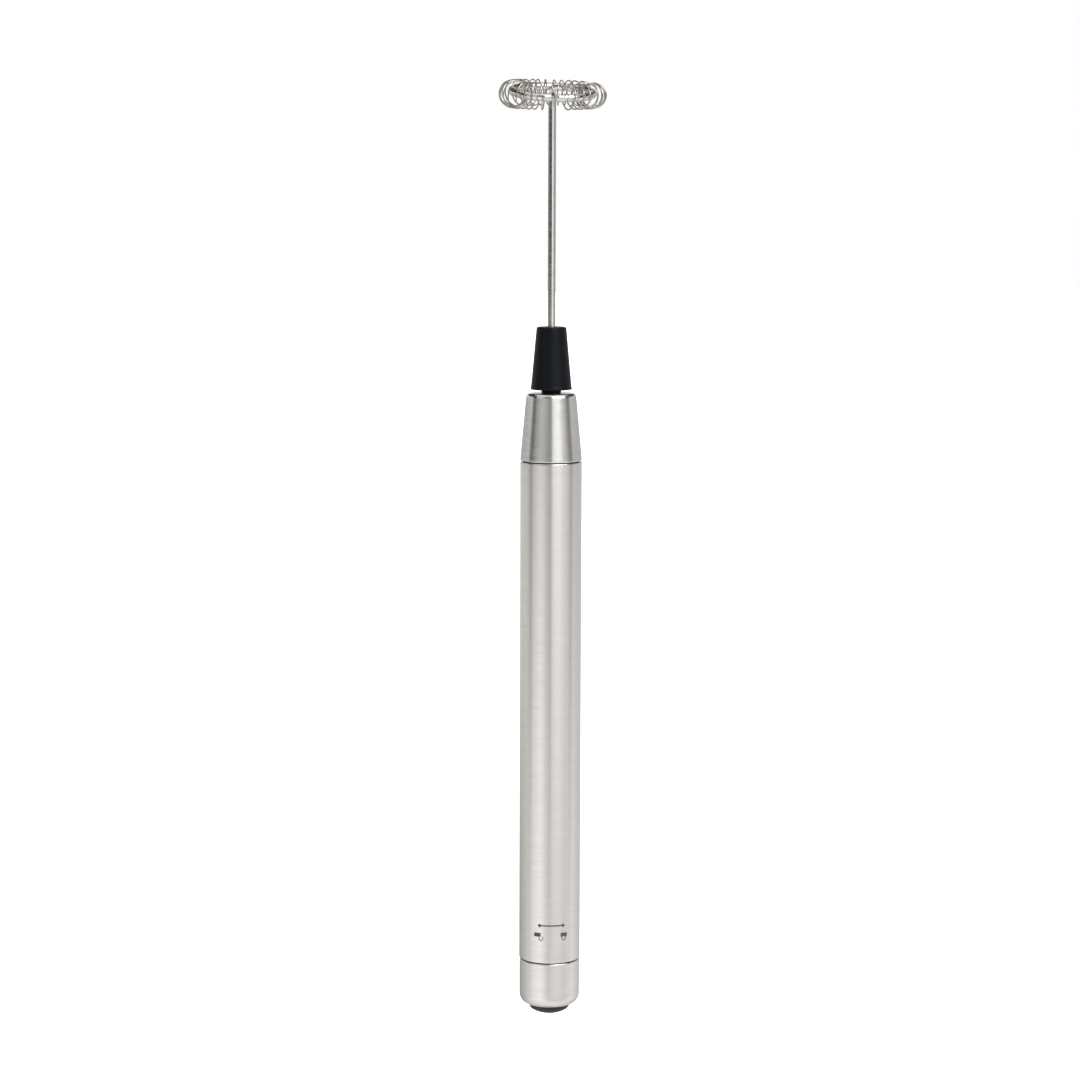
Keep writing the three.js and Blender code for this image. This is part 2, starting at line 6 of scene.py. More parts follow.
import bmesh
import bpy
from mathutils import Euler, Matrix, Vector


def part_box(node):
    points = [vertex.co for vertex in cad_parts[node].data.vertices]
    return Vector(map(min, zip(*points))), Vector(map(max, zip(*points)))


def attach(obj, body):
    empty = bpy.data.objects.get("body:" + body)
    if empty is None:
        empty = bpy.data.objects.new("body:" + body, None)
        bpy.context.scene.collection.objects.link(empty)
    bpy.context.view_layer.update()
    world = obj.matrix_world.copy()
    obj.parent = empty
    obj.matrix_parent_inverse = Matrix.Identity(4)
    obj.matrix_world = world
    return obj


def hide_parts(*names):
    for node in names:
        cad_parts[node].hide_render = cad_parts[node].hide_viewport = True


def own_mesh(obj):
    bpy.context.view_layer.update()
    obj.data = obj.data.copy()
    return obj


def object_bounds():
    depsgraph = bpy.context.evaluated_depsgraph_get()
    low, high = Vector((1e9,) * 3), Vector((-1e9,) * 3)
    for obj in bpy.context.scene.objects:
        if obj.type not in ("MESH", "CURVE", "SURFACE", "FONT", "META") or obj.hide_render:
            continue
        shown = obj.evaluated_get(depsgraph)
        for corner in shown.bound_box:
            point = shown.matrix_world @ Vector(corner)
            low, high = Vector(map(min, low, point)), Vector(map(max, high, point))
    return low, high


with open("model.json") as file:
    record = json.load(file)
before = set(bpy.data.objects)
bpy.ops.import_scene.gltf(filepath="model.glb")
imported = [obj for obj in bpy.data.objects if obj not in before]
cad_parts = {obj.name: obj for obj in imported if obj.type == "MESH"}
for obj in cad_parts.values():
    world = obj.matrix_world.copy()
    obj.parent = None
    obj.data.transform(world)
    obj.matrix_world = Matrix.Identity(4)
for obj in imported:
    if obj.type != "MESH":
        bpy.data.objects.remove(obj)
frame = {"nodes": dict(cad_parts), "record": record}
CAD_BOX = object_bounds()
MM = 0.001
MICRON = 1e-6
FULL_TURN = 2 * math.pi

# ---------------------------------------------------------------- sizes taken from the frame

tube_low, tube_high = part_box("body_tube")
nose_low, nose_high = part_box("nose_cone")
cap_low, cap_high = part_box("end_cap")
hub_low, hub_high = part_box("whisk_hub")
button_low, button_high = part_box("power_button")
core_low, core_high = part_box("cap_core")
bush_low, bush_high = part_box("nose_bush")
insert_low, insert_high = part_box("tube_insert")
wire_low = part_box("whisk_wire")[0]
plate_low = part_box("contact_plate")[0]
shaft_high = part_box("motor_shaft")[1]
seal_mid = sum(corner.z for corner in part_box("cap_o_ring")) / 2

TUBE_R = tube_high.x
CAP_R = cap_high.x
SHAFT_R = shaft_high.x
WALL = 0.5 * MM
ROLLED_EDGE = 0.16 * MM
PLAY = 0.05 * MM

# The whisk's heights are measured up from the lowest point of the button, as the marks' are.
# Angles are in degrees from +X, anticlockwise from above. A tilt lifts the +Y side of a ring
# and a roll drops its +X side.
ARM_AT = 270.0
WIRE_R = 0.875 * MM
WIRE_BEND = 2.1 * MM
RING_Z = button_low.z + 210.7 * MM
RING_R = 9.1 * MM
RING_TILT, RING_ROLL = 9.0, 2.3
RING_SPAN = 352.0
COIL_Z = button_low.z + 210.15 * MM
COIL_RING_R = 9.12 * MM
COIL_RING_SHIFT = 0.18 * MM
COIL_TILT, COIL_ROLL = 4.0, 1.2
COIL_R = 2.81 * MM
COIL_SWELL = 0.05
COIL_WIRE_R = 0.155 * MM
COIL_TURNS = 31
COIL_GAP_AT = ARM_AT + 1.2
COIL_HALF_GAP = 11.8

THREAD_PITCH = 1.2 * MM
INK_DEPTH = 0.012 * MM
ARROW_Z = button_low.z + 22.24 * MM
PADLOCK_Z = button_low.z + 19.67 * MM

# ---------------------------------------------------------------- shader helpers


class Shader:
    """A node material: one Principled shader, varied by noise in the object's own coordinates."""

    NOISE_LOW, NOISE_HIGH = 0.3, 0.7

    def __init__(self, name, **sockets):
        """Each keyword sets a socket of the shader, with _ for a space."""
        self.material = bpy.data.materials.new(name)
        self.material.use_nodes = True
        self.tree = self.material.node_tree
        self.shader = self.tree.nodes["Principled BSDF"]
        for socket, value in sockets.items():
            self.shader.inputs[socket.replace("_", " ")].default_value = value
        self.place = self.node("ShaderNodeTexCoord").outputs["Object"]

    def node(self, kind, **settings):
        made = self.tree.nodes.new(kind)
        for key, value in settings.items():
            setattr(made, key, value)
        return made

    def link(self, out, socket):
        self.tree.links.new(out, socket)

    def noise(self, scale, detail=3.0, roughness=0.55):
        """Noise with this many features a metre: one number, or one for each axis."""
        mapping = self.node("ShaderNodeMapping")
        mapping.inputs["Scale"].default_value = scale if isinstance(scale, tuple) else (scale,) * 3
        self.link(self.place, mapping.inputs["Vector"])
        made = self.node("ShaderNodeTexNoise")
        made.inputs["Scale"].default_value = 1.0
        made.inputs["Detail"].default_value = detail
        made.inputs["Roughness"].default_value = roughness
        self.link(mapping.outputs["Vector"], made.inputs["Vector"])
        return made.outputs["Fac"]

    def ranged(self, noise, low, high):
        """Spreads the middle of a noise's range over low to high."""
        made = self.node("ShaderNodeMapRange")
        made.inputs["From Min"].default_value = self.NOISE_LOW
        made.inputs["From Max"].default_value = self.NOISE_HIGH
        made.inputs["To Min"].default_value = low
        made.inputs["To Max"].default_value = high
        self.link(noise, made.inputs["Value"])
        return made.outputs["Result"]

    def color_from(self, noise, low, high):
        """Varies the base colour between low and high."""
        made = self.node("ShaderNodeMix", data_type="RGBA")
        made.inputs["A"].default_value = (*low, 1)
        made.inputs["B"].default_value = (*high, 1)
        self.link(self.ranged(noise, 0, 1), made.inputs["Factor"])
        self.link(made.outputs["Result"], self.shader.inputs["Base Color"])

    def roughness_from(self, noise, low, high):
        self.link(self.ranged(noise, low, high), self.shader.inputs["Roughness"])

    def bump_from(self, noise, depth, strength=1.0):
        """Adds a bump of the given depth in metres."""
        made = self.node("ShaderNodeBump")
        made.inputs["Distance"].default_value = depth
        made.inputs["Strength"].default_value = strength
        self.link(noise, made.inputs["Height"])
        self.link(made.outputs["Normal"], self.shader.inputs["Normal"])


# ---------------------------------------------------------------- materials


def satin_steel():
    """Turned stainless steel, brushed round the axis, so highlights run along it."""
    made = Shader("satin_steel", Metallic=1.0, Anisotropic=0.80, Anisotropic_Rotation=0.25)
    tangent = made.node("ShaderNodeTangent", direction_type="RADIAL", axis="Z")
    made.link(tangent.outputs["Tangent"], made.shader.inputs["Tangent"])
    turning = made.noise((240, 240, 5200), detail=5.0, roughness=0.6)
    handling = made.noise((160, 160, 700), detail=4.0, roughness=0.65)
    made.color_from(handling, (0.782, 0.768, 0.742), (0.812, 0.798, 0.776))
    made.roughness_from(turning, 0.16, 0.27)
    made.bump_from(turning, 6 * MICRON)
    return made.material


def bright_steel():
    """Drawn bright wire with faint lengthwise marks."""
    made = Shader("bright_steel", Metallic=1.0)
    made.color_from(made.noise(900), (0.70, 0.685, 0.66), (0.82, 0.81, 0.79))
    made.roughness_from(made.noise(2200), 0.08, 0.17)
    made.bump_from(made.noise((1800, 1800, 300)), 0.4 * MICRON)
    return made.material


def spring_steel_painted_shade():
    """Thin hard-drawn spring wire, darker than the stem, its base colour varied at random from dark brown to
    grey; the darkness is painted shade standing in for the dark surroundings the wire reflects.
    """
    made = Shader("spring_steel_painted_shade", Metallic=1.0)
    # Painted shade: this base colour is set dark to stand in for the dark surroundings the coil reflects.
    made.color_from(made.noise(260), (0.22, 0.195, 0.165), (0.66, 0.64, 0.61))
    made.roughness_from(made.noise(1500), 0.08, 0.18)
    made.bump_from(made.noise(5000), 1 * MICRON)
    return made.material


def pressed_steel():
    """Dull grey sheet, pressed and plated."""
    made = Shader("pressed_steel", Metallic=1.0)
    made.color_from(made.noise(300), (0.48, 0.48, 0.47), (0.60, 0.60, 0.59))
    made.roughness_from(made.noise(900), 0.30, 0.48)
    made.bump_from(made.noise(4000), 3 * MICRON)
    return made.material


def black_plastic():
    """Satin moulded black, slightly blue, with a fine spark-eroded grain."""
    made = Shader("black_plastic", Specular_IOR_Level=0.20)
    made.color_from(made.noise(260), (0.0003, 0.0012, 0.0034), (0.0014, 0.0027, 0.0058))
    made.roughness_from(made.noise(500), 0.41, 0.48)
    made.bump_from(made.noise(5200, detail=2.0), 5 * MICRON, 0.5)
    return made.material


def button_plastic():
    """Smoother black moulding with light scuffs from the thumb."""
    made = Shader("button_plastic")
    scuff = made.noise((900, 2400, 900), detail=5.0, roughness=0.7)
    made.color_from(scuff, (0.007, 0.009, 0.014), (0.020, 0.023, 0.033))
    made.roughness_from(scuff, 0.18, 0.34)
    made.bump_from(made.noise(2600), 1.5 * MICRON, 0.5)
    return made.material


def mark_ink():
    """Dark grey pad-printed ink, a little worn."""
    made = Shader("mark_ink")
    wear = made.noise(2600, detail=4.0, roughness=0.7)
    made.color_from(wear, (0.045, 0.043, 0.040), (0.115, 0.110, 0.103))
    made.roughness_from(wear, 0.48, 0.62)
    return made.material


def plain_plastic(name, low, high, roughness):
    """A moulded or rubbery surface with slight mottling and a fine grain."""
    made = Shader(name)
    made.color_from(made.noise(350), low, high)
    made.roughness_from(made.noise(800), roughness - 0.06, roughness + 0.08)
    made.bump_from(made.noise(4200), 5 * MICRON, 0.5)
    return made.material


def plain_metal(name, low, high):
    """A turned metal with fine rings round the axis."""
    made = Shader(name, Metallic=1.0)
    made.color_from(made.noise(500), low, high)
    made.roughness_from(made.noise((300, 300, 5000)), 0.22, 0.40)
    made.bump_from(made.noise((80, 80, 6000)), 2 * MICRON)
    return made.material


MATERIALS = {
    "satin_steel": satin_steel(),
    "bright_steel": bright_steel(),
    "pressed_steel": pressed_steel(),
    "black_plastic": black_plastic(),
    "button_plastic": button_plastic(),
    "spring_steel_painted_shade": spring_steel_painted_shade(),
    "mark_ink": mark_ink(),
    "brass": plain_metal("brass", (0.62, 0.46, 0.20), (0.80, 0.64, 0.33)),
    "copper": plain_metal("copper", (0.58, 0.27, 0.14), (0.76, 0.40, 0.23)),
    "white_plastic": plain_plastic("white_plastic", (0.70, 0.68, 0.62), (0.80, 0.78, 0.73), 0.5),
    "rubber": plain_plastic("rubber", (0.010, 0.010, 0.011), (0.022, 0.022, 0.024), 0.7),
    "ferrite": plain_plastic("ferrite", (0.03, 0.03, 0.033), (0.06, 0.06, 0.064), 0.65),
    "cell_case": plain_plastic("cell_case", (0.07, 0.22, 0.19), (0.10, 0.28, 0.24), 0.3),
    "red_insulation": plain_plastic("red_insulation", (0.42, 0.03, 0.025), (0.55, 0.05, 0.04), 0.4),
    "black_insulation": plain_plastic("black_insulation", (0.012, 0.012, 0.013), (0.03, 0.03, 0.032), 0.4),
}

# ---------------------------------------------------------------- mesh helpers

ON_AXIS = 1e-9
WELD = 1e-7
DOME = ((0.54, 0.45), (0.33, 0.84))  # a wire's domed end: rings this far out and this wide, in radii


def new_object(name, data):
    """Puts a new object in the scene."""
    made = bpy.data.objects.new(name, data)
    bpy.context.scene.collection.objects.link(made)
    return made


def finished(name, bm, slot, body, replaces=(), crease=35, look=None):
    """Turns a bmesh into a smooth-shaded piece on a body; look is its material if not the slot's own."""
    bmesh.ops.remove_doubles(bm, verts=bm.verts, dist=WELD)
    bmesh.ops.recalc_face_normals(bm, faces=bm.faces)
    mesh = bpy.data.meshes.new(name)
    bm.to_mesh(mesh)
    bm.free()
    mesh.shade_smooth()
    mesh.set_sharp_from_angle(angle=math.radians(crease))
    mesh.materials.append(MATERIALS[look or slot])
    piece = new_object(name, mesh)
    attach(piece, body)
    if replaces:
        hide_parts(*replaces)
    return piece


def join_rings(bm, low, high):
    """Adds the faces between two rings of vertices; a ring may be one vertex, repeated."""
    for i in range(len(low)):
        face = list(dict.fromkeys([low[i], low[i - 1], high[i - 1], high[i]]))
        if len(face) > 2:
            bm.faces.new(face)


def close_tube(bm, rings):
    """Joins rings into a tube with a face at each end."""
    for low, high in zip(rings, rings[1:]):
        join_rings(bm, low, high)
    bm.faces.new(rings[0])
    bm.faces.new(rings[-1][::-1])


def with_edge_rings(profile, closed):
    """Adds a point near each end of every long run, so that shading bends only at the rounded edges."""
    reach = 0.25 * MM
    long_run = 6 * reach
    points = []
    following = profile[1:] + profile[:1] if closed else profile[1:]
    for start, end in zip(profile, following):
        points.append(start)
        run = math.dist(start, end)
        if run > long_run:
            for along in (reach / run, 1 - reach / run):
                points.append(tuple(a + (b - a) * along for a, b in zip(start, end)))
    return points if closed else points + profile[-1:]


def add_lathe(bm, profile, sides):
    """Adds a solid of revolution about Z. A profile off the axis closes on itself."""
    closed = profile[0][0] > ON_AXIS
    turns = [FULL_TURN * i / sides for i in range(sides)]
    rings = []
    for r, z in with_edge_rings(profile, closed):
        if r < ON_AXIS:
            rings.append([bm.verts.new((0, 0, z))] * sides)
        else:
            rings.append([bm.verts.new((r * math.cos(turn), r * math.sin(turn), z)) for turn in turns])
    for low, high in zip(rings, rings[1:] + rings[:1] if closed else rings[1:]):
        join_rings(bm, low, high)


def lathe(name, profile, slot, body, replaces, sides, crease=35):
    bm = bmesh.new()
    add_lathe(bm, profile, sides)
    finished(name, bm, slot, body, replaces, crease)


def arc(centre_r, centre_z, radius, start, end, steps, tall=None):
    """Profile points on an arc, degrees from the outward direction; an ellipse if tall is given."""
    tall = tall or radius
    points = []
    for i in range(steps + 1):
        angle = math.radians(start + (end - start) * i / steps)
        points.append((centre_r + radius * math.cos(angle), centre_z + tall * math.sin(angle)))
    return points


def directions(points):
    """The direction of a path at each of its points."""
    last = len(points) - 1
    return [(points[min(i + 1, last)] - points[max(i - 1, 0)]).normalized() for i in range(last + 1)]


def add_wire(bm, points, radius, sides):
    """Adds a round wire along the points, with domed ends and a frame that doesn't twist."""
    tangents = directions(points)
    across = tangents[0].orthogonal().normalized()
    rings = []

    def add_ring(point, tangent, scale=1.0):
        side = tangent.cross(across)
        rings.append([
            bm.verts.new(point + radius * scale * (
                across * math.cos(FULL_TURN * i / sides) + side * math.sin(FULL_TURN * i / sides)))
            for i in range(sides)
        ])

    for i, (point, tangent) in enumerate(zip(points, tangents)):
        across = (across - tangent * across.dot(tangent)).normalized()
        if i == 0:
            for out, scale in DOME:
                add_ring(point - tangent * radius * out, tangent, scale)
        add_ring(point, tangent)
        if i == len(points) - 1:
            for out, scale in reversed(DOME):
                add_ring(point + tangent * radius * out, tangent, scale)
    close_tube(bm, rings)


def wire(name, points, radius, slot, body, replaces, sides=12, look=None):
    bm = bmesh.new()
    add_wire(bm, points, radius, sides)
    return finished(name, bm, slot, body, replaces, crease=60, look=look)


def add_thread(bm, root_r, crest_r, low_z, high_z):
    """Adds a right-hand helical ridge whose ends run out."""
    half_root, half_crest = 0.46 * THREAD_PITCH, 0.11 * THREAD_PITCH
    least_rise = 0.04
    per_turn = 48
    steps = round((high_z - low_z) / THREAD_PITCH * per_turn)
    fade = per_turn // 3
    rings = []
    for i in range(steps + 1):
        angle = FULL_TURN * i / per_turn
        z = low_z + THREAD_PITCH * i / per_turn
        rise = min(1.0, i / fade, (steps - i) / fade)
        tip_r = root_r + (crest_r - root_r) * (least_rise + (1 - least_rise) * rise)
        corners = ((root_r, -half_root), (tip_r, -half_crest), (tip_r, half_crest), (root_r, half_root))
        rings.append([
            bm.verts.new((r * math.cos(angle), r * math.sin(angle), z + up)) for r, up in corners
        ])
    close_tube(bm, rings)


def add_stroke(bm, points, widths):
    """Adds a thin ink stroke wrapped on the tube. Points are (along, z), along from the front line to +X."""
    sunk, proud = TUBE_R - INK_DEPTH, TUBE_R + INK_DEPTH
    rings = []
    for (along, z), ahead, width in zip(points, directions([Vector(p) for p in points]), widths):
        side = Vector((-ahead.y, ahead.x)) * width / 2
        corners = []
        for r, sign in ((sunk, 1), (proud, 1), (proud, -1), (sunk, -1)):
            turn = (along + sign * side.x) / TUBE_R
            corners.append(bm.verts.new((r * math.sin(turn), -r * math.cos(turn), z + sign * side.y)))
        rings.append(corners)
    close_tube(bm, rings)


# ---------------------------------------------------------------- covers


def body_tube():
    """Straight tube with rolled seam edges."""
    edge = ROLLED_EDGE
    lathe("tube", [
        (TUBE_R - WALL, tube_low.z),
        *arc(TUBE_R - edge, tube_low.z + edge, edge, -90, 0, 5),
        *arc(TUBE_R - edge, tube_high.z - edge, edge, 0, 90, 5),
        (TUBE_R - WALL, tube_high.z),
    ], "satin_steel", "handle", ["body_tube"], sides=192, crease=50)


def nose_cone():
    """Tapered nose with a softly rounded shoulder."""
    edge = ROLLED_EDGE
    shoulder, top_r, hole_r, plate = 0.9 * MM, 5.6 * MM, 1.85 * MM, 0.6 * MM
    inner_corner, inner_drop = 0.3 * MM, 0.4 * MM
    taper = (TUBE_R - top_r) / (nose_high.z - nose_low.z)

    def radius(z):
        return TUBE_R - taper * (z - nose_low.z)

    lean = math.degrees(math.atan(taper))
    shoulder_z = nose_high.z - shoulder
    under_z = nose_high.z - plate
    under_r = radius(under_z) - WALL
    lathe("nose", [
        (radius(nose_low.z) - WALL, nose_low.z),
        *arc(TUBE_R - edge, nose_low.z + edge, edge, -90, lean, 5),
        *arc(radius(shoulder_z) - shoulder, shoulder_z, shoulder, lean, 90, 12),
        (hole_r, nose_high.z),
        (hole_r, under_z),
        (under_r - inner_corner, under_z),
        (under_r, under_z - inner_drop),
    ], "satin_steel", "handle", ["nose_cone"], sides=192, crease=50)


def end_cap():
    """Spun cup with a tall round lower corner and a narrow flat rim round the button's hole."""
    edge = ROLLED_EDGE
    hole_r, rim_r, hole_edge = 4.78 * MM, 5.1 * MM, 0.06 * MM
    wide, tall = CAP_R - rim_r, 2.4 * MM
    corner_z = cap_low.z + tall
    lathe("cap_shell", [
        (hole_r, cap_low.z + hole_edge),
        (hole_r + hole_edge, cap_low.z),
        *arc(rim_r, corner_z, wide, -90, 0, 24, tall),
        *arc(CAP_R - edge, cap_high.z - edge, edge, 0, 90, 5),
        (CAP_R - WALL, cap_high.z),
        *arc(rim_r, corner_z, wide - WALL, 0, -90, 10, tall - WALL),
        (hole_r, cap_low.z + WALL),
    ], "satin_steel", "cap", ["end_cap"], sides=192, crease=50)


def nose_bush():
    """Bearing whose collar fills the neck between nose and hub."""
    collar_r, stem_r, flange_r = 2.2 * MM, 1.75 * MM, 3.2 * MM
    edge = 0.08 * MM
    bore = SHAFT_R + PLAY
    collar_z = nose_high.z + PLAY
    flange_low, flange_high = nose_high.z - 2.35 * MM, nose_high.z - 0.65 * MM
    lathe("neck_bush", [
        (bore, bush_low.z),
        (stem_r, bush_low.z),
        (stem_r, flange_low),
        (flange_r, flange_low),
        (flange_r, flange_high),
        (stem_r, flange_high),
        (stem_r, collar_z),
        (collar_r, collar_z),
        *arc(collar_r - edge, bush_high.z - edge, edge, 0, 90, 4),
        (bore, bush_high.z),
    ], "black_plastic", "handle", ["nose_bush"], sides=96)


# ---------------------------------------------------------------- whisk


def whisk_hub():
    """Tapered hub with a fine lip at its foot and soft edges."""
    foot_r, lip_r, low_r, high_r = 4.51 * MM, 4.66 * MM, 4.55 * MM, 3.38 * MM
    fine, lip_fall, lip_shrink, edge = 0.12 * MM, 0.25 * MM, 0.02 * MM, 0.4 * MM
    side_lean = 4
    lip_z = hub_low.z + 0.75 * MM
    join_z = (shaft_high.z + wire_low.z) / 2
    low_bore, high_bore = SHAFT_R + PLAY, WIRE_R + PLAY
    lathe("hub", [
        (low_bore, hub_low.z),
        (foot_r, hub_low.z),
        *arc(lip_r - fine, hub_low.z + fine, fine, -90, 0, 4),
        (lip_r - lip_shrink, lip_z - lip_fall),
        (low_r, lip_z),
        *arc(high_r - edge, hub_high.z - edge, edge, side_lean, 90, 8),
        (high_bore + fine, hub_high.z),
        (high_bore, hub_high.z - fine),
        (high_bore, join_z),
        (low_bore, join_z),
    ], "black_plastic", "whisk", ["whisk_hub"], sides=160, crease=40)


def on_ring(centre_z, tilt, roll):
    """Places (radius, degrees, height) of a level ring on a tilted ring at centre_z."""
    turn = Euler((math.radians(tilt), math.radians(roll), 0), "XYZ").to_matrix()

    def place(r, degrees, up=0.0):
        angle = math.radians(degrees)
        return turn @ Vector((r * math.cos(angle), r * math.sin(angle), up)) + Vector((0, 0, centre_z))

    return place


def bend_points(start, corner, end):
    """A smooth bend that leaves start and reaches end, pulled towards corner."""
    steps = 14
    return [
        start.lerp(corner, t).lerp(corner.lerp(end, t), t)
        for t in (i / steps for i in range(steps + 1))
    ]


def whisk_wire():
    """One bright wire: stem, arm towards the front, and a ring that runs clockwise from above."""
    place = on_ring(RING_Z, RING_TILT, RING_ROLL)
    centre = place(0, 0)
    bend_angle = math.degrees(WIRE_BEND / RING_R)
    stem_foot = Vector((0, 0, wire_low.z))
    stem_top = centre - Vector((0, 0, WIRE_BEND))
    stem_steps, ring_steps = 12, 120
    points = [stem_foot.lerp(stem_top, i / stem_steps) for i in range(stem_steps)]
    points += bend_points(stem_top, centre, place(WIRE_BEND, ARM_AT))
    points += bend_points(place(RING_R - WIRE_BEND, ARM_AT), place(RING_R, ARM_AT),
                          place(RING_R, ARM_AT - bend_angle))
    for i in range(1, ring_steps + 1):
        points.append(place(RING_R, ARM_AT - bend_angle - (RING_SPAN - bend_angle) * i / ring_steps))
    wire("whisk_stem_and_ring", points, WIRE_R, "bright_steel", "whisk", ["whisk_wire"], sides=24)


def whisk_coil():
    """Fine coil wound loosely round the ring, each turn a little uneven, fuller on the -X side."""
    place = on_ring(COIL_Z, COIL_TILT, COIL_ROLL)
    per_turn = 30
    steps = COIL_TURNS * per_turn
    span = 360 - 2 * COIL_HALF_GAP
    points = []
    for i in range(steps + 1):
        winding = FULL_TURN * i / per_turn
        at = COIL_GAP_AT + COIL_HALF_GAP + span * i / steps
        side = math.cos(math.radians(at))
        # Waves out of step with the turns: one changes their size, the other spaces them unevenly.
        uneven = 0.05 * MM * math.sin(winding / 2.7) * math.sin(winding / 7.3)
        sway = 1.1 * math.sin(winding / 3.9) + 0.7 * math.sin(winding / 1.7)
        turn_r = COIL_R * (1 - COIL_SWELL * side) + uneven
        r = COIL_RING_R + COIL_RING_SHIFT * side + turn_r * math.cos(winding)
        points.append(place(r, at + sway, turn_r * math.sin(winding)))
    # The coil uses the darker spring steel, whose base colour holds painted shade.
    wire("whisk_coil_fine", points, COIL_WIRE_R, "bright_steel", "whisk", ["whisk_coil"], sides=10,
         look="spring_steel_painted_shade")


# ---------------------------------------------------------------- cap and switch


def power_button():
    """Push button with a shallow dome that rolls into its side."""
    r, face_r, dome_r, flange_r = 4.68 * MM, 4.1 * MM, 8.2 * MM, 5.3 * MM
    flange_z = button_low.z + 3.15 * MM
    seat_r, seat_z = 3.9 * MM, button_low.z + 3.7 * MM
    lean = math.asin(face_r / dome_r)
    roll_from = -90 + math.degrees(lean)
    edge = (r - face_r) / (1 - math.sin(lean))
    edge_z = button_low.z + dome_r - (dome_r - edge) * math.cos(lean)
    lathe("push_button", [
        (0.0, button_low.z),
        *arc(0, button_low.z + dome_r, dome_r, -90, roll_from, 14)[1:],
        *arc(r - edge, edge_z, edge, roll_from, 0, 12)[1:],
        (r, flange_z),
        (flange_r, flange_z),
        (flange_r, button_high.z),
        (seat_r, button_high.z),
        (seat_r, seat_z),
        (0.0, seat_z),
    ], "button_plastic", "button", ["power_button"], sides=128, crease=45)


def cap_core():
    """Moulded core: shoulder in the cap, neck with its thread and seal groove, web and spring cup."""
    shoulder_r, neck_r, groove_r, hole_r = core_high.x, 5.35 * MM, 4.9 * MM, 1.4 * MM
    well_r, cup_r = 3.2 * MM, 4.6 * MM
    edge = 0.25 * MM
    shoulder_z, web_z, cup_z = core_low.z + 4.25 * MM, core_low.z + 1.3 * MM, plate_low.z - PLAY
    groove_low, groove_high = seal_mid - 0.45 * MM, seal_mid + 0.45 * MM
    thread_r, thread_sunk, thread_clear = 5.62 * MM, 0.06 * MM, 0.7 * MM
    bm = bmesh.new()
    add_lathe(bm, [
        (hole_r, core_low.z),
        *arc(shoulder_r - edge, core_low.z + edge, edge, -90, 0, 5),
        *arc(shoulder_r - edge, shoulder_z - edge, edge, 0, 90, 5),
        (neck_r, shoulder_z),
        (neck_r, groove_low),
        (groove_r, groove_low),
        (groove_r, groove_high),
        (neck_r, groove_high),
        *arc(neck_r - edge, core_high.z - edge, edge, 0, 90, 5),
        (cup_r, core_high.z),
        (cup_r, cup_z),
        (well_r, cup_z),
        (well_r, web_z),
        (hole_r, web_z),
    ], sides=128)
    add_thread(bm, neck_r - thread_sunk, thread_r, groove_high + thread_clear, core_high.z - thread_clear)
    finished("threaded_core", bm, "black_plastic", "cap", ["cap_core"])


def tube_insert():
    """Brass ring in the tube's end, threaded inside."""
    outer_r, bore_r, edge = insert_high.x, 5.8 * MM, 0.15 * MM
    thread_r, thread_sunk, thread_clear = 5.67 * MM, 0.04 * MM, 0.8 * MM
    bm = bmesh.new()
    add_lathe(bm, [
        (bore_r + edge, insert_low.z),
        (outer_r, insert_low.z),
        (outer_r, insert_high.z),
        (bore_r + edge, insert_high.z),
        (bore_r, insert_high.z - edge),
        (bore_r, insert_low.z + edge),
    ], sides=128)
    add_thread(bm, bore_r + thread_sunk, thread_r,
               insert_low.z + thread_clear, insert_high.z - thread_clear)
    finished("threaded_ring", bm, "brass", "handle", ["tube_insert"])


def cap_seal():
    """O-ring in the core's groove."""
    ring_r, section_r, section_sides = 5.32 * MM, 0.37 * MM, 24
    section = arc(ring_r, seal_mid, section_r, 0, 360, section_sides)[:-1]
    lathe("seal_ring", section, "rubber", "cap_carriage", ["cap_o_ring"], sides=128)


def spring_points(low_r, high_r, wire_r, turns, low_z, high_z):
    """A coil spring about Z between two heights, its first and last turns wound close."""
    close_turns, close_pitch, per_turn = 1.0, 2.1 * wire_r, 32
    open_turns = turns - 2 * close_turns
    start_z, rise = low_z + wire_r, high_z - low_z - 2 * wire_r
    open_pitch = (rise - 2 * close_turns * close_pitch) / open_turns
    steps = round(turns * per_turn)
    points = []
    for i in range(steps + 1):
        turned = i / per_turn
        turned_open = min(max(turned - close_turns, 0.0), open_turns)
        z = start_z + close_pitch * (turned - turned_open) + open_pitch * turned_open
        angle = FULL_TURN * turned
        r = low_r + (high_r - low_r) * turned / turns
        points.append(Vector((r * math.cos(angle), r * math.sin(angle), z)))
    return points


def battery_spring():
    """Tapered contact spring, wide on its plate and narrow at the cell."""
    low_r, high_r, wire_r, turns = 4.05 * MM, 2.4 * MM, 0.25 * MM, 5.5
    low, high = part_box("battery_spring")
    wire("battery_coil_spring", spring_points(low_r, high_r, wire_r, turns, low.z, high.z), wire_r,
         "bright_steel", "cap_carriage", ["battery_spring"])


def button_spring():
    """Return spring under the washer, built at its rest length; in use it shortens by the button's travel.
    """
    radius, wire_r, turns, travel = 2.9 * MM, 0.2 * MM, 4.5, 1.6 * MM
    low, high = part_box("button_spring")
    piece = wire("button_coil_spring", spring_points(radius, radius, wire_r, turns, low.z, high.z),
                 wire_r, "bright_steel", "cap", ["button_spring"])
    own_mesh(piece)


